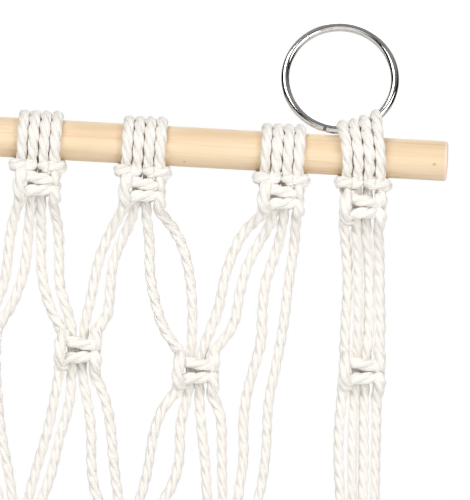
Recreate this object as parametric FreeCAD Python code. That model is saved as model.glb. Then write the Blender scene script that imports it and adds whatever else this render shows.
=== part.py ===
import FreeCAD, Part
import math
import os

V = FreeCAD.Vector

# Hanging macrame planter. Millimetres, +Z up, front is -Y.
# Origin: the middle of the dowel's axis. X runs along the dowel.

# Driving dimensions
CORD = 5.0            # cord diameter
GAP = 0.3             # air between a cord and its neighbour
PITCH = CORD + GAP
DOWEL_R = 9.6
DOWEL_HALF = 196.0
DOWEL_EASE = 1.4      # rounding of the dowel's end rims
RING_R = 26.5         # centre line of the ring's wire
WIRE_R = 2.0
RING_X = 142.6
RING_BOTTOM = (-2.5, 12.1)   # y, z of the wire's centre where the ring stands on the dowel
RING_LEAN = 18.6      # degrees that the ring leans back
HINGE_AT = 262.0      # degrees round the ring, from +X towards +Z
CLASP_AT = 129.0
CLASP_GAP = 0.4

# Lark's heads: a bar in front, its ends back under the dowel, over it and down behind the bar
WRAP_R = DOWEL_R + CORD / 2 + GAP
WRAP_STEP = 40.0      # degrees between corners of a turn round the dowel
BAR_Y = -12.9         # the bar crosses in front of each pair of turns
BAR_Z = -13.3
BAR_IN = 1.3          # where the bar's ends turn back under the dowel
BAR_OUT = 10.9
TAIL_Y = -7.4         # where each turn passes behind the bar
TAIL_Z = -12.0
MOUNT_KNOT_Y = -7.0
SLOT_X = [-1.5 * PITCH, -0.5 * PITCH, 0.5 * PITCH, 1.5 * PITCH]

# Square knots: the two fillers run straight through, the two working strands pass one
# in front and one behind
FILLER_REACH = 10.0
WORKING = [(8.1, 0.0, 9.5), (6.8, 6.2, 4.0), (0.6, 6.2, 3.0),
           (0.6, 6.2, -3.0), (6.8, 6.2, -4.0), (8.1, 0.0, -9.5)]

# Gathering knot and tassel
BUNDLE_R = 18.6
GATHER_TOP = -400.0
GATHER_LENGTH = 41.0

# Groups: x of the middle, z of the square knot under the dowel, tops that stand over the ring
GROUPS = {
    "g1": (0.0, -23.0),
    "g2": (50.3, -23.0),
    "g3": (116.7, -23.0),
    "g4": (156.0, -24.7),
}
RING_TURN_TOPS = [17.0, 18.1, 20.7, 26.0]    # height of the four turns that hold the ring
RING_TURN_SHIFT = -3.5                       # their tops lean towards the ring's middle

# Square knots below the first row: x, z
KNOTS = {
    "k12": (23.5, -100.6),
    "k23": (80.5, -107.4),
    "k4": (160.0, -103.3),
    "r0": (0.0, -190.0),
    "r1": (52.0, -193.0),
    "r2": (101.0, -196.0),
    "r4": (162.0, -184.0),
}

# Routes of the right-hand strands below the dowel: group, slot, then points and knots.
# A knot is (name, slot). The left-hand strands mirror them.
ROUTES = {
    "g1_a": ("g1", 2, [(3.2, 0, -46), (3.6, 0, -63), (8.5, 0, -80), ("k12", 0),
                       (13.8, 0, -124), (11.5, 0, -140), (7, 0, -158), ("r0", 2),
                       (4, -16, -229), (6, -40, -268), (5, -42, -316), (4, -22, -358),
                       (2.65, -10.6, -390)]),
    "g1_b": ("g1", 3, [(11.5, 0, -43), (12.3, 0, -57), (13, 0, -71), ("k12", 1),
                       (21.5, 0, -126), (17, 0, -143), (14.5, 0, -160), ("r0", 3),
                       (9.5, 16, -229), (12, 40, -268), (9, 42, -316), (4, 22, -358),
                       (2.65, 10.6, -390)]),
    "g2_a": ("g2", 0, [(36, 0, -43), (31, 0, -57), (29, 0, -73), ("k12", 2),
                       (29.5, 0, -124), (32.5, 0, -139), (33, 0, -157), (36.5, 0, -171), ("r1", 0),
                       (43, -18, -232), (38, -44, -272), (24, -42, -320), (8, -18, -362),
                       (2.65, -5.3, -390)]),
    "g2_b": ("g2", 1, [(42.5, 0, -45), (38, 0, -57), (37.5, 0, -71), (37.5, 0.5, -83), ("k12", 3),
                       (37.5, 0, -121), (41.5, 0, -135), (43.5, 0, -153), ("r1", 1),
                       (49, 18, -232), (42, 44, -272), (26, 42, -320), (9, 18, -362),
                       (2.65, 5.3, -390)]),
    "g2_c": ("g2", 2, [(55.5, 0, -46), (56, 0, -62), (60, 0, -77), (64.5, 0, -89), ("k23", 0),
                       (65.5, 0, -126), (61.5, 0, -141), (60.5, 0, -158), ("r1", 2),
                       (56, -14, -232), (50, -38, -274), (33, -38, -322), (14, -20, -362),
                       (7.95, -10.6, -390)]),
    "g2_d": ("g2", 3, [(66.5, 0, -39), (72.5, 0, -50), (76, 0, -64), (78, 0, -80), ("k23", 1),
                       (74.3, 0, -134), (76, 0, -151), (71, 0, -168), ("r1", 3),
                       (61, 14, -232), (55, 38, -274), (36, 38, -322), (15, 20, -362),
                       (7.95, 10.6, -390)]),
    "g3_a": ("g3", 0, [(101, 0, -38), (95.5, 0, -49), (92, 0, -63), (90, 0, -79), ("k23", 2),
                       (85, 0, -135), (88, 0, -151), (89.5, 0, -168), ("r2", 0),
                       (91, -14, -236), (78, -34, -276), (50, -32, -322), (20, -12, -362),
                       (7.95, -5.3, -390)]),
    "g3_b": ("g3", 1, [(108.5, 0, -43), (102.5, 0, -55), (99.5, 0, -70), (98.5, 0, -85), ("k23", 3),
                       (94.5, 0, -128), (95.3, 0, -143), (96.5, 0, -160), ("r2", 1),
                       (97, 14, -236), (83, 34, -276), (54, 32, -322), (21, 12, -362),
                       (7.95, 5.3, -390)]),
    "g3_c": ("g3", 2, [(117, 0, -47), (112, 0, -61), (111, 0, -76), (112, 0, -92),
                       (106.5, 0, -112), (104.5, 0, -130), (106.5, 0, -147), (104.5, 0, -165), ("r2", 2),
                       (102, -9, -238), (90, -26, -282), (60, -26, -328), (26, -12, -366),
                       (13.25, -7.95, -390)]),
    "g3_d": ("g3", 3, [(125, 0, -45), (123, 0, -62), (122, 0, -82), (119.5, 0, -102),
                       (116, 0, -121), (117, 0, -142), (115.5, 0, -163), ("r2", 3),
                       (108, 9, -238), (95, 26, -282), (64, 26, -328), (28, 12, -366),
                       (13.25, 7.95, -390)]),
    "g4_a": ("g4", 0, [(150.5, 0, -48), (151.7, 0, -64), (151.3, 0, -80), ("k4", 0),
                       (151, 0, -128), (151.5, 0, -146), (153.5, 0, -162), ("r4", 0),
                       (150, -4, -232), (128, -8, -280), (86, -8, -322), (36, -3, -358),
                       (2.65, 0, -390)]),
    "g4_b": ("g4", 1, [(156, -1, -51), (156.8, -1, -67), (157.6, -1, -82), ("k4", 1),
                       (157.5, -1, -131), (158.7, -1, -153), ("r4", 1),
                       (156, 4, -234), (132, 8, -284), (90, 8, -328), (40, 4, -363),
                       (7.95, 0, -390)]),
    "g4_c": ("g4", 2, [(161.4, 1, -51), (162.2, 1, -67), (163, 1, -82), ("k4", 2),
                       (163, 1, -131), (164.2, 1, -153), ("r4", 2),
                       (162, -3, -236), (140, -8, -290), (98, -9, -334), (46, -6, -369),
                       (13.25, -2.65, -390)]),
    "g4_d": ("g4", 3, [(166.2, 0, -48), (167, 0, -64), (168.6, 0, -80), ("k4", 3),
                       (169, 0, -128), (169.4, 0, -145), (170, 0, -160), ("r4", 3),
                       (168, 4, -240), (146, 9, -296), (104, 9, -340), (50, 6, -374),
                       (13.25, 2.65, -390)]),
}
TASSEL = [(1.0, -442), (1.25, -486), (1.3, -528)]    # spread of the bundle and height


def tube(points, name):
    """A round tube along straight runs joined by tangent arcs."""
    pts = [V(*p) for p in points]
    edges = []
    start = pts[0]
    tightest = 1e9
    for before, corner, after in zip(pts, pts[1:], pts[2:]):
        run_in = corner - before
        run_out = after - corner
        half = run_in.getAngle(run_out) / 2
        room_in = run_in.Length * (0.9 if before is pts[0] else 0.45)
        reach = min(room_in, 0.45 * run_out.Length)
        radius = reach / math.tan(half)
        tightest = min(tightest, radius)
        run_in.normalize()
        run_out.normalize()
        a = corner - run_in * reach
        b = corner + run_out * reach
        inward = run_out - run_in
        inward.normalize()
        middle = corner + inward * (radius / math.cos(half) - radius)
        edges.append(Part.LineSegment(start, a).toShape())
        edges.append(Part.Arc(a, middle, b).toShape())
        start = b
    edges.append(Part.LineSegment(start, pts[-1]).toShape())
    length = sum(e.Length for e in edges)
    wire = Part.Wire(edges)
    section = Part.Wire(Part.makeCircle(CORD / 2, pts[0], pts[1] - pts[0]))
    solid = wire.makePipeShell([section], True, False)
    expected = math.pi * (CORD / 2) ** 2 * length
    print(f"{name}: length {length:.0f}, tightest radius {tightest:.1f}, "
          f"volume ratio {solid.Volume / expected:.4f}, valid {solid.isValid()}")
    return solid


def turn_corner(x, degrees):
    """A corner of a turn round the dowel: 0 is the top, positive angles are at the front."""
    reach = WRAP_R / math.cos(math.radians(WRAP_STEP / 2))
    a = math.radians(degrees)
    return (x, -reach * math.sin(a), reach * math.cos(a))


def turn(x, top):
    """A turn from the dowel's back, over the top and down the front."""
    if top is None:
        return [turn_corner(x, d) for d in (-140, -100, -60, -20, 20, 60, 100)]
    return [turn_corner(x, -140), turn_corner(x, -100), (x + 0.3 * RING_TURN_SHIFT, 12.2, 6.6),
            (x + RING_TURN_SHIFT, 2.4, top), (x + RING_TURN_SHIFT, -6.3, top),
            (x + 0.3 * RING_TURN_SHIFT, -12.6, 5), turn_corner(x, 100)]


def larks_head(middle, slot, has_ring):
    """Half a lark's head: half the bar, back under the dowel, over it and down behind the bar."""
    top = RING_TURN_TOPS[slot] if has_ring else None
    half = -1 if slot < 2 else 1
    leg = middle + half * (BAR_OUT if slot in (0, 3) else BAR_IN)
    x = middle + SLOT_X[slot]
    under = (leg, 0, -WRAP_R - 0.8)
    return ([(middle + half * PITCH, BAR_Y, BAR_Z), (leg, BAR_Y, BAR_Z), under]
            + turn(x, top) + [(x, TAIL_Y, TAIL_Z)])


def through_knot(x, z, slot):
    """The points of a strand inside a square knot."""
    if slot in (1, 2):
        return [(x + SLOT_X[slot], 0, z + FILLER_REACH), (x + SLOT_X[slot], 0, z - FILLER_REACH)]
    side = -1 if slot == 0 else 1
    return [(x + side * px, side * py, z + pz) for px, py, pz in WORKING]


def knot_pass(x, z, slot, side):
    """A strand in a knot. In the middle knots the left-hand strand passes in front."""
    points = through_knot(x, z, slot)
    if x == 0 and side == -1:
        return [(px, -py, pz) for px, py, pz in points]
    return points


def strand_points(group, slot, stations, side):
    """All the corner points of a strand, from its bar to its tip. Side -1 is the left."""
    middle, knot_z = GROUPS[group]
    first_knot = [(px, MOUNT_KNOT_Y + py, pz) for px, py, pz in knot_pass(middle, knot_z, slot, side)[1:]]
    points = larks_head(middle, slot, group == "g4") + first_knot
    for station in stations:
        if isinstance(station[0], str):
            points += knot_pass(*KNOTS[station[0]], station[1], side)
        else:
            points.append(station)
    x, y, _ = points[-1]
    points += [(x * spread, y * spread, z) for spread, z in TASSEL]
    return [(side * px, py, pz) for px, py, pz in points]


def dowel():
    bar = Part.makeCylinder(DOWEL_R, 2 * DOWEL_HALF, V(-DOWEL_HALF, 0, 0), V(1, 0, 0))
    rims = [e for e in bar.Edges if isinstance(e.Curve, Part.Circle)]
    return bar.makeFillet(DOWEL_EASE, rims)


def gathering_cord():
    """The outer shape of the cord wound round the bundle."""
    outer = Part.makeCylinder(BUNDLE_R + CORD, GATHER_LENGTH, V(0, 0, GATHER_TOP - GATHER_LENGTH))
    inner = Part.makeCylinder(BUNDLE_R, GATHER_LENGTH, V(0, 0, GATHER_TOP - GATHER_LENGTH))
    return outer.cut(inner)


# Ring: drawn upright in the XZ plane about its own middle, then leant back and placed
JAW_SHOULDER = 3.2    # from the hinge pin to the jaw's full section
FORK_END = 1.6        # from the hinge pin to the end of the fork
FORK_DEPTH = 2.7
FORK_SLOT = 1.6
TONGUE = 1.2
TONGUE_R = 1.55
PIN_R = 0.6
PIN_BORE_R = 0.65
PIN_LENGTH = 3.9
STUD_R = 0.8
SOCKET_R = 1.4


def ring_point(degrees, radius=RING_R):
    a = math.radians(degrees)
    return V(radius * math.cos(a), 0, radius * math.sin(a))


def along(degrees):
    """Direction of the wire at an angle round the ring."""
    a = math.radians(degrees)
    return V(-math.sin(a), 0, math.cos(a))


def wire_arc(start, end):
    face = Part.Face(Part.Wire(Part.makeCircle(WIRE_R, ring_point(start), along(start))))
    return face.revolve(V(0, 0, 0), V(0, -1, 0), end - start)


def slab(centre, direction, back, front, height, thickness):
    """A flat block through a point of the wire, along the wire's direction."""
    block = Part.makeBox(back + front, thickness, height, V(-back, -thickness / 2, -height / 2))
    turn = FreeCAD.Rotation(V(1, 0, 0), direction)
    block.Placement = FreeCAD.Placement(centre, turn)
    return block


def degrees_of(length):
    return math.degrees(length / RING_R)


def across(radius, length, centre):
    return Part.makeCylinder(radius, length, centre - V(0, length / 2, 0), V(0, 1, 0))


def ring_body():
    """The long half: a fork at the hinge and a stud at the clasp."""
    end = CLASP_AT + 360 - degrees_of(CLASP_GAP / 2)
    arc = wire_arc(HINGE_AT - degrees_of(FORK_END), end)
    hinge = ring_point(HINGE_AT)
    slot = slab(hinge, along(HINGE_AT), 4.0, FORK_DEPTH, 6.0, FORK_SLOT)
    stud = Part.makeCylinder(STUD_R, 2.2, ring_point(end) - along(end) * 1.0, along(end))
    return arc.fuse(stud).removeSplitter().cut(slot).cut(across(PIN_R, 6.0, hinge))


def ring_jaw():
    """The short half: a tongue at the hinge and a socket at the clasp."""
    start = CLASP_AT + degrees_of(CLASP_GAP / 2)
    arc = wire_arc(start, HINGE_AT - degrees_of(JAW_SHOULDER))
    hinge = ring_point(HINGE_AT)
    tongue = slab(hinge, along(HINGE_AT), JAW_SHOULDER + 0.8, 0.0, 2 * TONGUE_R, TONGUE)
    tongue = tongue.fuse(across(TONGUE_R, TONGUE, hinge))
    socket = Part.makeCylinder(SOCKET_R, 1.6, ring_point(start) - along(start) * 0.2, along(start))
    return arc.fuse(tongue).cut(socket).cut(across(PIN_BORE_R, 6.0, hinge))


def ring_pin():
    return across(PIN_R, PIN_LENGTH, ring_point(HINGE_AT))


def placed_ring(shape):
    y, z = RING_BOTTOM
    shape = shape.copy()
    shape.translate(V(0, 0, RING_R))
    shape.rotate(V(0, 0, 0), V(1, 0, 0), -RING_LEAN)
    shape.translate(V(RING_X, y, z))
    return shape


def mirror_x(shape):
    return shape.mirror(V(0, 0, 0), V(1, 0, 0))


def export(shape, node):
    shape.exportStep(f"parts/{node}.step")


def main():
    os.makedirs("parts", exist_ok=True)
    export(dowel(), "dowel")
    export(gathering_cord(), "gathering_cord")
    for node, make in (("body", ring_body), ("jaw", ring_jaw), ("pin", ring_pin)):
        shape = placed_ring(make())
        print(node, "valid", shape.isValid(), "solids", len(shape.Solids), "volume", round(shape.Volume, 1))
        export(shape, f"ring_{node}_right")
        export(mirror_x(shape), f"ring_{node}_left")
    for name, (group, slot, stations) in ROUTES.items():
        for side, word in ((1, "right"), (-1, "left")):
            node = f"strand_{name}_{word}"
            export(tube(strand_points(group, slot, stations, side), node), node)


main()
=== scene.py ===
# %% [markdown]
# # Hanging macrame planter
# A wooden dowel carries seven groups of cotton cord, tied with lark's heads and square knots, and
# two hinged rings to hang it by. The frame gives the dowel, the rings and where each cord lies.
# Here the cords become real twisted rope that is really tied, and each finish gets its grain.

# %% Load the frame
import bpy
import math
import numpy as np
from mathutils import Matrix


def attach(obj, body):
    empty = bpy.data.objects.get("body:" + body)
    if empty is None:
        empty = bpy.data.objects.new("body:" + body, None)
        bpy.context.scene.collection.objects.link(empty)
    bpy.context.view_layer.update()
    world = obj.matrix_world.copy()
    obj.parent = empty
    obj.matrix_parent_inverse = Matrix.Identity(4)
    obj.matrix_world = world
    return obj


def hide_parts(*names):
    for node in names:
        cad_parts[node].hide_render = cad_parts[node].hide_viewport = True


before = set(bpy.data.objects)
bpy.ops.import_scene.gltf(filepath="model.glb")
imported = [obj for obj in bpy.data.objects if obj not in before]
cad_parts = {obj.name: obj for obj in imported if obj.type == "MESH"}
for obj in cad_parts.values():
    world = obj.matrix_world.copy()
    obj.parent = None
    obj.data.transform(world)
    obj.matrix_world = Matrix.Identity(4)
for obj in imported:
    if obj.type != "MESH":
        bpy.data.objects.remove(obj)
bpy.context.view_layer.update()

# %% [markdown]
# ## Camera
# A long lens from straight ahead keeps the dowel and cords free of perspective. The hanger is seen
# a little rolled, so its dowel slopes down to the right.

# %% Camera
CAMERA_DISTANCE = 2.0
VIEW_HEIGHT = 0.2404
VIEW_CENTRE = (0.0965, -0.0482)      # x, z
VIEW_ROLL = math.radians(3.13)
SENSOR = 36.0
bpy.ops.object.select_all(action="DESELECT")
bpy.ops.object.camera_add(location=(VIEW_CENTRE[0], -CAMERA_DISTANCE, VIEW_CENTRE[1]),
                          rotation=(math.pi / 2, -VIEW_ROLL, 0))
camera = bpy.context.object
camera.data.sensor_width = SENSOR
camera.data.lens = SENSOR * CAMERA_DISTANCE / VIEW_HEIGHT
camera.data.clip_end = 30
bpy.context.scene.camera = camera
print("lens", round(camera.data.lens), "mm")

# %% [markdown]
# ## The cords' routes
# A lark's head is one cord folded in half, so a strand starts in the middle of the bar in front. It
# goes back under the dowel, up and over, and down behind the bar. Between the knots the routes
# are the frame's, in metres. Where a strand passes through a knot, the knot is named instead.

# %% Sizes and routes
CORD = 0.005
GAP = 0.0003
PITCH = CORD + GAP
DOWEL_R = 0.0096
WRAP_R = 0.0112     # the soft cord is pressed flat against the dowel
WRAP_STEP = 40.0
BAR_Y = -0.0129
BAR_Z = -0.0133
BAR_IN = 0.0029
BAR_OUT = 0.0112
TAIL_Y = -0.0074
TAIL_Z = -0.0120
MOUNT_KNOT_Y = -0.0070
MOUNT_SQUEEZE = 0.86     # the first knots are pushed up against the bars
SLOT_X = [-1.5 * PITCH, -0.5 * PITCH, 0.5 * PITCH, 1.5 * PITCH]
BUNDLE_R = 0.0186
GATHER_TOP = -0.400
GATHER_LENGTH = 0.041
GROUPS = {
    "g1": (0.0, -0.0222),
    "g2": (0.0503, -0.0222),
    "g3": (0.1167, -0.0222),
    "g4": (0.156, -0.0247),
}
RING_TURN_TOPS = [0.0143, 0.0153, 0.0172, 0.0200]
RING_TURN_SHIFT = -0.0035
KNOTS = {
    "k12": (0.0235, -0.1006),
    "k23": (0.0805, -0.1074),
    "k4": (0.160, -0.1033),
    "r0": (0.0, -0.190),
    "r1": (0.052, -0.193),
    "r2": (0.101, -0.196),
    "r4": (0.162, -0.184),
}
ROUTES = {
    "g1_a": ("g1", 2, [(0.0032, 0, -0.046), (0.0036, 0, -0.063), (0.0085, 0, -0.08), ("k12", 0),
                       (0.0138, 0, -0.124), (0.0115, 0, -0.14), (0.007, 0, -0.158), ("r0", 2),
                       (0.004, -0.016, -0.229), (0.006, -0.04, -0.268), (0.005, -0.042, -0.316),
                       (0.004, -0.022, -0.358), (0.00265, -0.0106, -0.39)]),
    "g1_b": ("g1", 3, [(0.0115, 0, -0.043), (0.0123, 0, -0.057), (0.013, 0, -0.071), ("k12", 1),
                       (0.0215, 0, -0.126), (0.017, 0, -0.143), (0.0145, 0, -0.16), ("r0", 3),
                       (0.0095, 0.016, -0.229), (0.012, 0.04, -0.268), (0.009, 0.042, -0.316),
                       (0.004, 0.022, -0.358), (0.00265, 0.0106, -0.39)]),
    "g2_a": ("g2", 0, [(0.036, 0, -0.043), (0.031, 0, -0.057), (0.029, 0, -0.073), ("k12", 2),
                       (0.0295, 0, -0.124), (0.0325, 0, -0.139), (0.033, 0, -0.157), (0.0365, 0, -0.171),
                       ("r1", 0), (0.043, -0.018, -0.232), (0.038, -0.044, -0.272),
                       (0.024, -0.042, -0.32), (0.008, -0.018, -0.362), (0.00265, -0.0053, -0.39)]),
    "g2_b": ("g2", 1, [(0.0425, 0, -0.045), (0.038, 0, -0.057), (0.0375, 0, -0.071),
                       (0.0375, 0.0005, -0.083), ("k12", 3), (0.0375, 0, -0.121), (0.0415, 0, -0.135),
                       (0.0435, 0, -0.153), ("r1", 1), (0.049, 0.018, -0.232), (0.042, 0.044, -0.272),
                       (0.026, 0.042, -0.32), (0.009, 0.018, -0.362), (0.00265, 0.0053, -0.39)]),
    "g2_c": ("g2", 2, [(0.0555, 0, -0.046), (0.056, 0, -0.062), (0.06, 0, -0.077), (0.0645, 0, -0.089),
                       ("k23", 0), (0.0655, 0, -0.126), (0.0615, 0, -0.141), (0.0605, 0, -0.158),
                       ("r1", 2), (0.056, -0.014, -0.232), (0.05, -0.038, -0.274),
                       (0.033, -0.038, -0.322), (0.014, -0.02, -0.362), (0.00795, -0.0106, -0.39)]),
    "g2_d": ("g2", 3, [(0.0665, 0, -0.039), (0.0725, 0, -0.05), (0.076, 0, -0.064), (0.078, 0, -0.08),
                       ("k23", 1), (0.0743, 0, -0.134), (0.076, 0, -0.151), (0.071, 0, -0.168), ("r1", 3),
                       (0.061, 0.014, -0.232), (0.055, 0.038, -0.274), (0.036, 0.038, -0.322),
                       (0.015, 0.02, -0.362), (0.00795, 0.0106, -0.39)]),
    "g3_a": ("g3", 0, [(0.101, 0, -0.038), (0.0955, 0, -0.049), (0.092, 0, -0.063), (0.09, 0, -0.079),
                       ("k23", 2), (0.085, 0, -0.135), (0.088, 0, -0.151), (0.0895, 0, -0.168), ("r2", 0),
                       (0.091, -0.014, -0.236), (0.078, -0.034, -0.276), (0.05, -0.032, -0.322),
                       (0.02, -0.012, -0.362), (0.00795, -0.0053, -0.39)]),
    "g3_b": ("g3", 1, [(0.1085, 0, -0.043), (0.1025, 0, -0.055), (0.0995, 0, -0.07), (0.0985, 0, -0.085),
                       ("k23", 3), (0.0945, 0, -0.128), (0.0953, 0, -0.143), (0.0965, 0, -0.16),
                       ("r2", 1), (0.097, 0.014, -0.236), (0.083, 0.034, -0.276), (0.054, 0.032, -0.322),
                       (0.021, 0.012, -0.362), (0.00795, 0.0053, -0.39)]),
    "g3_c": ("g3", 2, [(0.117, 0, -0.047), (0.112, 0, -0.061), (0.111, 0, -0.076), (0.112, 0, -0.092),
                       (0.1065, 0, -0.112), (0.1045, 0, -0.13), (0.1065, 0, -0.147), (0.1045, 0, -0.165),
                       ("r2", 2), (0.102, -0.009, -0.238), (0.09, -0.026, -0.282), (0.06, -0.026, -0.328),
                       (0.026, -0.012, -0.366), (0.01325, -0.00795, -0.39)]),
    "g3_d": ("g3", 3, [(0.125, 0, -0.045), (0.123, 0, -0.062), (0.122, 0, -0.082), (0.1195, 0, -0.102),
                       (0.116, 0, -0.121), (0.117, 0, -0.142), (0.1155, 0, -0.163), ("r2", 3),
                       (0.108, 0.009, -0.238), (0.095, 0.026, -0.282), (0.064, 0.026, -0.328),
                       (0.028, 0.012, -0.366), (0.01325, 0.00795, -0.39)]),
    "g4_a": ("g4", 0, [(0.1505, 0, -0.048), (0.1517, 0, -0.064), (0.1513, 0, -0.08), ("k4", 0),
                       (0.151, 0, -0.128), (0.1515, 0, -0.146), (0.1535, 0, -0.162), ("r4", 0),
                       (0.15, -0.004, -0.232), (0.128, -0.008, -0.28), (0.086, -0.008, -0.322),
                       (0.036, -0.003, -0.358), (0.00265, 0, -0.39)]),
    "g4_b": ("g4", 1, [(0.156, -0.001, -0.051), (0.1568, -0.001, -0.067), (0.1576, -0.001, -0.082),
                       ("k4", 1), (0.1575, -0.001, -0.131), (0.1587, -0.001, -0.153), ("r4", 1),
                       (0.156, 0.004, -0.234), (0.132, 0.008, -0.284), (0.09, 0.008, -0.328),
                       (0.04, 0.004, -0.363), (0.00795, 0, -0.39)]),
    "g4_c": ("g4", 2, [(0.1614, 0.001, -0.051), (0.1622, 0.001, -0.067), (0.163, 0.001, -0.082),
                       ("k4", 2), (0.163, 0.001, -0.131), (0.1642, 0.001, -0.153), ("r4", 2),
                       (0.162, -0.003, -0.236), (0.14, -0.008, -0.29), (0.098, -0.009, -0.334),
                       (0.046, -0.006, -0.369), (0.01325, -0.00265, -0.39)]),
    "g4_d": ("g4", 3, [(0.1662, 0, -0.048), (0.167, 0, -0.064), (0.1686, 0, -0.08), ("k4", 3),
                       (0.169, 0, -0.128), (0.1694, 0, -0.145), (0.17, 0, -0.16), ("r4", 3),
                       (0.168, 0.004, -0.24), (0.146, 0.009, -0.296), (0.104, 0.009, -0.34),
                       (0.05, 0.006, -0.374), (0.01325, 0.00265, -0.39)]),
}
TASSEL = [(1.0, -0.442), (1.25, -0.486), (1.3, -0.528)]
print(len(ROUTES), "routes, mirrored to", 2 * len(ROUTES), "strands")

# %% [markdown]
# ## Tying
# A square knot has two fillers that run straight through and two working strands. One crosses in
# front twice, the other behind twice, and each hooks over the other at the sides. These are the
# control points of a loosely drawn knot, in millimetres: the spline pulls them tight. The frame's
# tubes don't tie it, so at a knot the ropes lie up to 18 mm away from them.

# %% Knots and turns
FILLER_REACH = 0.010
FRONT_STRAND = [(-8.1, 1.0, 9.5), (-8.0, -0.5, 6.8), (-5.5, -5.8, 4.6), (0.5, -7.4, 3.7), (6.0, -5.0, 3.2),
                (8.8, 0.4, 2.2), (8.8, 0.6, -1.4), (6.2, -5.0, -2.4), (0.5, -7.4, -3.0), (-5.0, -5.6, -3.8),
                (-7.8, -0.8, -6.2), (-8.1, 0.6, -10.2)]
BACK_STRAND = [(8.1, 0, 10.0), (8.6, -4.6, 7.4), (9.2, -5.4, 3.6), (6.4, 0.4, 0.6), (3.0, 6.2, 1.6),
               (-3.0, 6.2, 4.0), (-5.6, 1.0, 7.4), (-6.8, -6.4, 7.6), (-8.0, -8.8, 4.0), (-8.2, -8.8, -2.6),
               (-7.6, -6.0, -6.4), (-5.4, 1.2, -7.8), (-2.0, 6.2, -6.0), (3.5, 6.4, -3.8), (6.0, 1.6, -1.2),
               (8.6, -5.6, -2.4), (9.6, -4.8, -6.2), (8.1, 0, -10.2)]
MM = 0.001


def turn_corner(x, degrees):
    reach = WRAP_R / math.cos(math.radians(WRAP_STEP / 2))
    a = math.radians(degrees)
    return (x, -reach * math.sin(a), reach * math.cos(a))


def turn(x, top):
    if top is None:
        return [turn_corner(x, d) for d in (-140, -100, -60, -20, 20, 60, 100)]
    return [turn_corner(x, -140), turn_corner(x, -100), (x + 0.3 * RING_TURN_SHIFT, 0.0122, 0.0066),
            (x + RING_TURN_SHIFT, 0.0024, top), (x + RING_TURN_SHIFT, -0.0063, top),
            (x + 0.3 * RING_TURN_SHIFT, -0.0126, 0.005), turn_corner(x, 100)]


def larks_head(middle, slot, has_ring):
    top = RING_TURN_TOPS[slot] if has_ring else None
    half = -1 if slot < 2 else 1
    leg = middle + half * (BAR_OUT if slot in (0, 3) else BAR_IN)
    x = middle + SLOT_X[slot]
    start = middle + half * PITCH
    overlap = 0.0004 if start > leg else -0.0004
    return ([(start + overlap, BAR_Y, BAR_Z), (leg, BAR_Y, BAR_Z), (leg, BAR_Y + 0.0015, BAR_Z),
             (leg, 0, -WRAP_R - 0.0008)]
            + turn(x, top) + [(x, TAIL_Y, TAIL_Z)])


def through_knot(x, z, slot, side, squeeze=1.0):
    """A strand in a square knot. In the middle knots the left-hand strand is the front one."""
    if slot in (1, 2):
        inner = 0.88 * SLOT_X[slot]
        return [(x + inner, 0, z + FILLER_REACH * squeeze), (x + inner, 0, z - FILLER_REACH)]
    if slot == 0:
        template = FRONT_STRAND
    elif x == 0 and side == -1:
        template = [(-px, py, pz) for px, py, pz in FRONT_STRAND]
    else:
        template = BACK_STRAND
    return [(x + px * MM, py * MM, z + pz * MM * squeeze) for px, py, pz in template]


def strand_points(group, slot, stations, side):
    middle, knot_z = GROUPS[group]
    first_knot = through_knot(middle, knot_z, slot, side, MOUNT_SQUEEZE)[1:]
    points = larks_head(middle, slot, group == "g4")
    points += [(px, py + MOUNT_KNOT_Y, pz) for px, py, pz in first_knot]
    for station in stations:
        if isinstance(station[0], str):
            points += through_knot(*KNOTS[station[0]], station[1], side)
        else:
            points.append(station)
    x, y, _ = points[-1]
    points += [(x * spread, y * spread, z) for spread, z in TASSEL]
    return [(side * px, py, pz) for px, py, pz in points]


print("front strand", len(FRONT_STRAND), "points, back strand", len(BACK_STRAND))

# %% [markdown]
# ## Rope
# A real cord is three plies of cotton twisted together. A round tube would look like plastic, so the
# rope is lofted: three overlapping circles make its section, and the section turns steadily along
# the spline. The twist runs down to the right, as on this cord.

# %% From spline to rope
PLY_OFFSET = 0.41      # of the rope's radius
PLY_R = 0.59
TWIST_PITCH = 0.0215
RING_STEP = 0.0013
BULGE = 0.26
BULGE_AT = 0.006       # full bulge where the bend is this tight
BULGE_REACH = 0.005
WAVER = 0.022
WAVER_KNOTS = 40
TIP_SHRINK = 0.28      # the last of the tip narrows by this share
TIP_LENGTH = 0.0016
SIDES = 24
SPLINE_STEPS = 10


def spline_line(name, points):
    """Points read along a NURBS spline through the route."""
    curve = bpy.data.curves.new(name, "CURVE")
    curve.dimensions = "3D"
    spline = curve.splines.new("NURBS")
    spline.points.add(len(points) - 1)
    for target, p in zip(spline.points, points):
        target.co = (*p, 1.0)
    spline.order_u = 3
    spline.use_endpoint_u = True
    spline.resolution_u = SPLINE_STEPS
    holder = bpy.data.objects.new(name, curve)
    mesh = bpy.data.meshes.new_from_object(holder)
    line = np.array([v.co[:] for v in mesh.vertices])
    bpy.data.objects.remove(holder)
    bpy.data.meshes.remove(mesh)
    bpy.data.curves.remove(curve)
    return line


def evenly(line, step):
    lengths = np.r_[0, np.cumsum(np.linalg.norm(np.diff(line, axis=0), axis=1))]
    count = int(lengths[-1] / step) + 1
    marks = np.linspace(0, lengths[-1], count)
    return np.c_[[np.interp(marks, lengths, line[:, k]) for k in range(3)]].T, marks


def carried_frames(line):
    """Two directions across the line at each point, carried along without spinning."""
    tangents = np.gradient(line, axis=0)
    tangents /= np.linalg.norm(tangents, axis=1)[:, None]
    side = np.cross(tangents[0], (0.0, 0.0, 1.0)) * (-1 if tangents[0][0] > 0 else 1)
    sides = []
    for t in tangents:
        side = side - t * side.dot(t)
        side /= np.linalg.norm(side)
        sides.append(side.copy())
    sides = np.array(sides)
    return sides, np.cross(tangents, sides)


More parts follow.
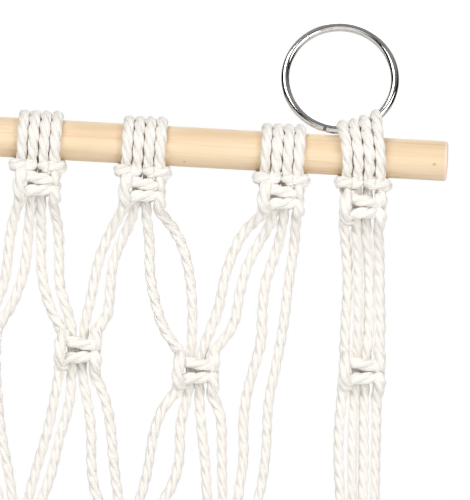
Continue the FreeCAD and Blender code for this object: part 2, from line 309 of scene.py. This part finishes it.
def ply_section():
    """Radius of three overlapping circles, all round, in parts of the rope's radius."""
    angles = np.arange(SIDES) * 2 * math.pi / SIDES
    third = 2 * math.pi / 3
    psi = (angles + third / 2) % third - third / 2
    radius = PLY_OFFSET * np.cos(psi) + np.sqrt(PLY_R ** 2 - (PLY_OFFSET * np.sin(psi)) ** 2)
    return angles, radius


def fullness(path, marks):
    """Soft cord opens up and bulges where it bends: a share of its radius at each point."""
    tangents = np.gradient(path, marks, axis=0)
    bend = np.linalg.norm(np.gradient(tangents, marks, axis=0), axis=1)
    reach = int(BULGE_REACH / RING_STEP)
    window = np.ones(2 * reach + 1) / (2 * reach + 1)
    eased = np.convolve(np.pad(bend, reach, mode="edge"), window, mode="valid")
    return BULGE * np.clip(eased * BULGE_AT, 0, 1)


def rope(name, line, seed):
    """A lofted three-ply rope along a line, closed at both ends, with a UV map that turns with it."""
    path, marks = evenly(line, RING_STEP)
    a, b = carried_frames(path)
    angles, radius = ply_section()
    rng = np.random.default_rng(seed)
    waver_knots = np.r_[0, rng.normal(0, WAVER, WAVER_KNOTS - 1)]
    waver = np.interp(marks, np.linspace(0, marks[-1], WAVER_KNOTS), waver_knots)
    turn = -2 * math.pi * marks / TWIST_PITCH
    phi = angles[None, :] + turn[:, None]
    r = CORD / 2 * radius[None, :] * (1 + waver[:, None])
    r = r * (1 + fullness(path, marks))[:, None]
    to_tip = (marks[-1] - marks) / TIP_LENGTH
    r = r * np.clip(1 - TIP_SHRINK + to_tip * TIP_SHRINK, 0, 1)[:, None]
    verts = (path[:, None, :] + a[:, None, :] * (np.cos(phi) * r)[:, :, None]
             + b[:, None, :] * (np.sin(phi) * r)[:, :, None]).reshape(-1, 3)
    rings = len(path)
    i, j = np.meshgrid(np.arange(rings - 1), np.arange(SIDES), indexing="ij")
    k = (j + 1) % SIDES
    here, there = i * SIDES, (i + 1) * SIDES
    quads = np.stack([here + j, here + k, there + k, there + j], -1).reshape(-1, 4)
    faces = quads.tolist()
    faces.append(list(range(SIDES))[::-1])
    faces.append([(rings - 1) * SIDES + s for s in range(SIDES)])
    mesh = bpy.data.meshes.new(name)
    mesh.from_pydata(verts.tolist(), [], faces)
    uv = mesh.uv_layers.new(name="lay")
    u0, u1 = j.ravel() / SIDES, (j.ravel() + 1) / SIDES
    v0, v1 = marks[i.ravel()] / TWIST_PITCH, marks[i.ravel() + 1] / TWIST_PITCH
    corner = np.stack([u0, v0, u1, v0, u1, v1, u0, v1], -1).ravel()
    flat = np.zeros(2 * len(mesh.loops))
    flat[:len(corner)] = corner
    uv.data.foreach_set("uv", flat)
    mesh.polygons.foreach_set("use_smooth", [True] * len(quads) + [False, False])
    mesh.update()
    piece = bpy.data.objects.new(name, mesh)
    bpy.context.collection.objects.link(piece)
    return piece, path, float(marks[-1])


# %% [markdown]
# ## Strands
# Every route is laid twice, once as it is and once mirrored to the left. Each rope hides the
# plain tube that it stands for.

# %% Lay every strand
strands = []
for index, (name, (group, slot, stations)) in enumerate(ROUTES.items()):
    for side, word in ((1, "right"), (-1, "left")):
        line = spline_line(name, strand_points(group, slot, stations, side))
        piece, path, length = rope(f"cotton_{name}_{word}", line, seed=2 * index + side + 1)
        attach(piece, "hanger")
        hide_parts(f"strand_{name}_{word}")
        strands.append(piece)
        print(piece.name, round(length, 3), "m")

# %% [markdown]
# ## Gathering cord
# Above the tassel one more cord is wound round all the strands. It is a plain helix, so its points
# come from a loop.

# %% Gathering cord
TURNS = 8
STEPS_A_TURN = 24
coil_r = BUNDLE_R + CORD / 2
coil = []
for step in range(TURNS * STEPS_A_TURN + 1):
    a = 2 * math.pi * step / STEPS_A_TURN
    drop = (GATHER_LENGTH - CORD) * step / (TURNS * STEPS_A_TURN)
    coil.append((coil_r * math.cos(a), coil_r * math.sin(a), GATHER_TOP - CORD / 2 - drop))
gathering, _, gathering_length = rope("cotton_gathering", np.array(coil), seed=91)
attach(gathering, "hanger")
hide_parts("gathering_cord")
strands.append(gathering)
print("gathering cord", round(gathering_length, 3), "m")

# %% [markdown]
# ## Shader maths
# Wrapping a socket in a small class lets node maths read as plain sums.

# %% Sockets as numbers
class Value:
    """A number that varies over the surface."""

    def __init__(self, nodes, socket):
        self.nodes = nodes
        self.socket = socket

    def math(self, operation, a, b=None):
        return self.nodes.add("ShaderNodeMath", {"operation": operation}, {0: a, 1: b})

    def __add__(self, other):
        return self.math("ADD", self, other)

    def __mul__(self, other):
        return self.math("MULTIPLY", self, other)

    def __sub__(self, other):
        return self.math("SUBTRACT", self, other)

    def __rsub__(self, other):
        return self.math("SUBTRACT", other, self)

    __radd__ = __add__
    __rmul__ = __mul__


class Finish:
    """A material with its Principled shader, and one method for every other node."""

    def __init__(self, name, roughness, **constants):
        self.material = bpy.data.materials.new(name)
        self.material.use_nodes = True
        self.tree = self.material.node_tree
        self.shader = self.tree.nodes["Principled BSDF"]
        self.shader.inputs["Roughness"].default_value = roughness
        for socket, value in constants.items():
            self.shader.inputs[socket.replace("_", " ")].default_value = value

    def add(self, kind, settings=None, inputs=None, output=0):
        node = self.tree.nodes.new(kind)
        for key, value in (settings or {}).items():
            setattr(node, key, value)
        for key, value in (inputs or {}).items():
            self.feed(node.inputs[key], value)
        return Value(self, node.outputs[output])

    def feed(self, socket, value):
        if isinstance(value, Value):
            self.tree.links.new(value.socket, socket)
        elif value is not None:
            socket.default_value = value

    def place(self, output="Object", scale=(1, 1, 1)):
        where = self.add("ShaderNodeTexCoord", output=output)
        return self.add("ShaderNodeMapping", {}, {"Vector": where, "Scale": scale})

    def noise(self, where, scale, detail=3.0, roughness=0.5):
        return self.add("ShaderNodeTexNoise", {}, {"Vector": where, "Scale": scale, "Detail": detail,
                                                   "Roughness": roughness})

    def axis(self, vector, index):
        return self.add("ShaderNodeSeparateXYZ", {}, {0: vector}, output=index)

    def smooth(self, value, low, high):
        return self.add("ShaderNodeMapRange", {"interpolation_type": "SMOOTHSTEP"},
                        {"Value": value, "From Min": low, "From Max": high})

    def blend(self, mask, first, second):
        return self.add("ShaderNodeMix", {"data_type": "RGBA"}, {0: mask, 6: first, 7: second}, output=2)

    def bump(self, height, distance, strength=1.0):
        return self.add("ShaderNodeBump", {}, {"Height": height, "Distance": distance, "Strength": strength})

    def paint(self, colour, roughness=None, normal=None):
        self.feed(self.shader.inputs["Base Color"], colour)
        self.feed(self.shader.inputs["Roughness"], roughness)
        self.feed(self.shader.inputs["Normal"], normal)
        print("finish", self.material.name)
        return self.material


# %% [markdown]
# ## Cotton
# Each ply is spun from fine yarns, seen as close lines that nearly follow the ply. They are drawn in
# the rope's own UV map, which turns with the twist. The colour is undyed: off-white with warm flecks.
# Painted shade darkens the grooves between the yarn lines, and the raised yarns are painted lighter.

# %% Cotton
YARNS = 15         # yarn lines round the rope
YARN_LEAN = 2      # lines they gain over the ply in one twist


def cotton_finish():
    f = Finish("natural_cotton", 0.95, Sheen_Weight=0.25, Sheen_Roughness=0.5, Specular_IOR_Level=0.15)
    uv = f.add("ShaderNodeTexCoord", output="UV")
    around, length = f.axis(uv, 0), f.axis(uv, 1)
    fibres = f.place()
    fluff = f.noise(fibres, 900.0, 3.0, 0.6)
    blotch = f.noise(fibres, 90.0, 2.0, 0.5)
    phase = around * (2 * math.pi * YARNS) - length * (2 * math.pi * YARN_LEAN) + fluff * 2.4
    yarn = f.add("ShaderNodeMath", {"operation": "SINE"}, {0: phase}) * 0.5 + 0.5
    height = yarn * 0.7 + fluff * 0.5
    warm_flecks_and_groove_shade = f.blend(f.smooth(blotch, 0.40, 0.70), (0.93, 0.865, 0.785, 1), (0.88, 0.79, 0.68, 1))
    # painted shade: low yarn, in the grooves, takes the darker warm flecked colour, and raised yarn a
    # lighter off-white
    colour = f.blend(f.smooth(yarn * 0.7 + fluff * 0.4, 0.12, 0.50), warm_flecks_and_groove_shade, (0.975, 0.95, 0.905, 1))
    return f.paint(colour, None, f.bump(height, 0.00028, 1.0))


cotton = cotton_finish()
for piece in strands:
    piece.data.materials.append(cotton)

# %% [markdown]
# ## Sanded wood
# The dowel is pale softwood turned along the grain, so the pattern is noise stretched along X, with
# a few small knots and finer pores.

# %% Wood
SMALL_KNOTS = [(0.1895, -0.0090, -0.0020, 0.0009), (0.1908, -0.0085, 0.0030, 0.0006),
               (0.0700, -0.0060, -0.0072, 0.0007)]     # x, y, z, size
KNOT_STRETCH = 0.7
RIM_FROM = 0.1940
RIM_TO = 0.1948


def wood_finish():
    f = Finish("sanded_pine", 0.55, Specular_IOR_Level=0.35)
    bands = f.noise(f.place(scale=(3.0, 60.0, 60.0)), 2.6, 4.0, 0.55)
    lines = f.noise(f.place(scale=(8.0, 420.0, 420.0)), 2.4, 3.0, 0.6)
    pores = f.noise(f.place(scale=(90.0, 2200.0, 2200.0)), 1.6, 2.0, 0.6)
    base = f.blend(f.smooth(bands, 0.36, 0.66), (0.87, 0.69, 0.475, 1), (0.80, 0.60, 0.385, 1))
    grained = f.blend(f.smooth(lines, 0.50, 0.74) * 0.55, base, (0.70, 0.47, 0.27, 1))
    flecked = f.blend(f.smooth(pores, 0.62, 0.80) * 0.35, grained, (0.62, 0.42, 0.26, 1))
    for knot_x, knot_y, knot_z, size in SMALL_KNOTS:
        middle = (-knot_x * KNOT_STRETCH, -knot_y, -knot_z)
        offset = f.add("ShaderNodeMapping", {}, {"Vector": f.place(), "Location": middle,
                                                 "Scale": (KNOT_STRETCH, 1, 1)})
        away = f.add("ShaderNodeVectorMath", {"operation": "LENGTH"}, {0: offset}, output=1)
        flecked = f.blend(f.smooth(away + lines * 0.0006, size * 1.5, size * 0.6) * 0.75, flecked,
                          (0.42, 0.27, 0.17, 1))
    reach = f.add("ShaderNodeMath", {"operation": "ABSOLUTE"}, {0: f.axis(f.place(), 0)})
    flecked = f.blend(f.smooth(reach, RIM_FROM, RIM_TO) * 0.8, flecked, (0.93, 0.74, 0.62, 1))
    height = lines * 0.7 + pores * 0.3
    return f.paint(flecked, f.smooth(lines, 0.2, 0.8) * 0.14 + 0.48, f.bump(height, 0.00012, 0.6))


# %% [markdown]
# ## Polished metal
# The ring is plated and polished. Its look is nearly all reflection; fine haze keeps it from
# being perfect.

# %% Plating
def plating_finish():
    f = Finish("polished_nickel", 0.08, Metallic=1.0)
    haze = f.noise(f.place(), 240.0, 3.0, 0.5)
    colour = f.blend(f.smooth(haze, 0.3, 0.7), (0.80, 0.785, 0.765, 1), (0.72, 0.70, 0.68, 1))
    return f.paint(colour, f.smooth(haze, 0.2, 0.8) * 0.08 + 0.05, f.bump(haze, 0.00003, 0.3))


finishes = {"dowel": wood_finish()}
plating = plating_finish()
for side in ("right", "left"):
    for part in ("body", "jaw", "pin"):
        finishes[f"ring_{part}_{side}"] = plating
for node, finish in finishes.items():
    mesh_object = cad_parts[node]
    for material_slot in mesh_object.material_slots:
        material_slot.material = finish

# %% [markdown]
# ## Floor and light
# A white studio: a broad soft light high on the left, a weaker one on the right and one behind. The
# surround is white behind the object and dark round the sides, which gives the metal its black lines.

# %% Stage
FLOOR_Z = -0.70
bpy.ops.object.select_all(action="DESELECT")
bpy.ops.mesh.primitive_plane_add(size=8, location=(0, 2, FLOOR_Z))
floor = bpy.context.object
floor.name = "studio_floor"
floor_finish = Finish("pale_floor", 0.9)
floor.data.materials.append(floor_finish.paint((0.9, 0.9, 0.9, 1)))


def area_light(name, place, size, power, aim):
    bpy.ops.object.light_add(type="AREA", location=place)
    light = bpy.context.object
    light.name = name
    light.data.size = size
    light.data.energy = power
    direction = np.array(aim) - np.array(place)
    flat = math.hypot(direction[0], direction[1])
    light.rotation_euler = (math.atan2(flat, -direction[2]), 0, math.atan2(-direction[0], direction[1]))
    print(name, power, "W")


area_light("key", (-1.1, -1.7, 1.5), 1.4, 40, (0.05, 0, -0.1))
area_light("fill", (1.4, -1.7, 0.3), 1.2, 23, (0.05, 0, -0.1))
area_light("back", (0.6, 2.4, 1.6), 1.6, 18, (0.05, 0, -0.1))


def studio_surround():
    """White behind the object and in a soft box round the viewer, dark between, pale above."""
    world = bpy.data.worlds.new("studio")
    bpy.context.scene.world = world
    world.use_nodes = True
    tree = world.node_tree
    where = tree.nodes.new("ShaderNodeTexCoord")
    split = tree.nodes.new("ShaderNodeSeparateXYZ")
    tree.links.new(where.outputs["Generated"], split.inputs[0])
    levels = []
    for axis, stops in (("Y", [(0.0, 0.9), (0.02, 0.9), (0.045, 0.012), (0.80, 0.012), (0.86, 1.0)]),
                        ("Z", [(0.0, 0.3), (0.3, 0.0), (0.70, 0.0), (0.86, 0.3)])):
        ramp = tree.nodes.new("ShaderNodeValToRGB")
        while len(ramp.color_ramp.elements) < len(stops):
            ramp.color_ramp.elements.new(0.5)
        for element, (position, level) in zip(ramp.color_ramp.elements, stops):
            element.position = position
            element.color = (level, level, level, 1)
        unit = tree.nodes.new("ShaderNodeMapRange")
        unit.inputs["From Min"].default_value = -1
        tree.links.new(split.outputs[axis], unit.inputs["Value"])
        tree.links.new(unit.outputs[0], ramp.inputs[0])
        levels.append(ramp.outputs[0])
    lightest = tree.nodes.new("ShaderNodeMath")
    lightest.operation = "MAXIMUM"
    tree.links.new(levels[0], lightest.inputs[0])
    tree.links.new(levels[1], lightest.inputs[1])
    tree.links.new(lightest.outputs[0], tree.nodes["Background"].inputs[0])


studio_surround()
bpy.context.scene.view_settings.view_transform = "Standard"
print("surround and view transform set")
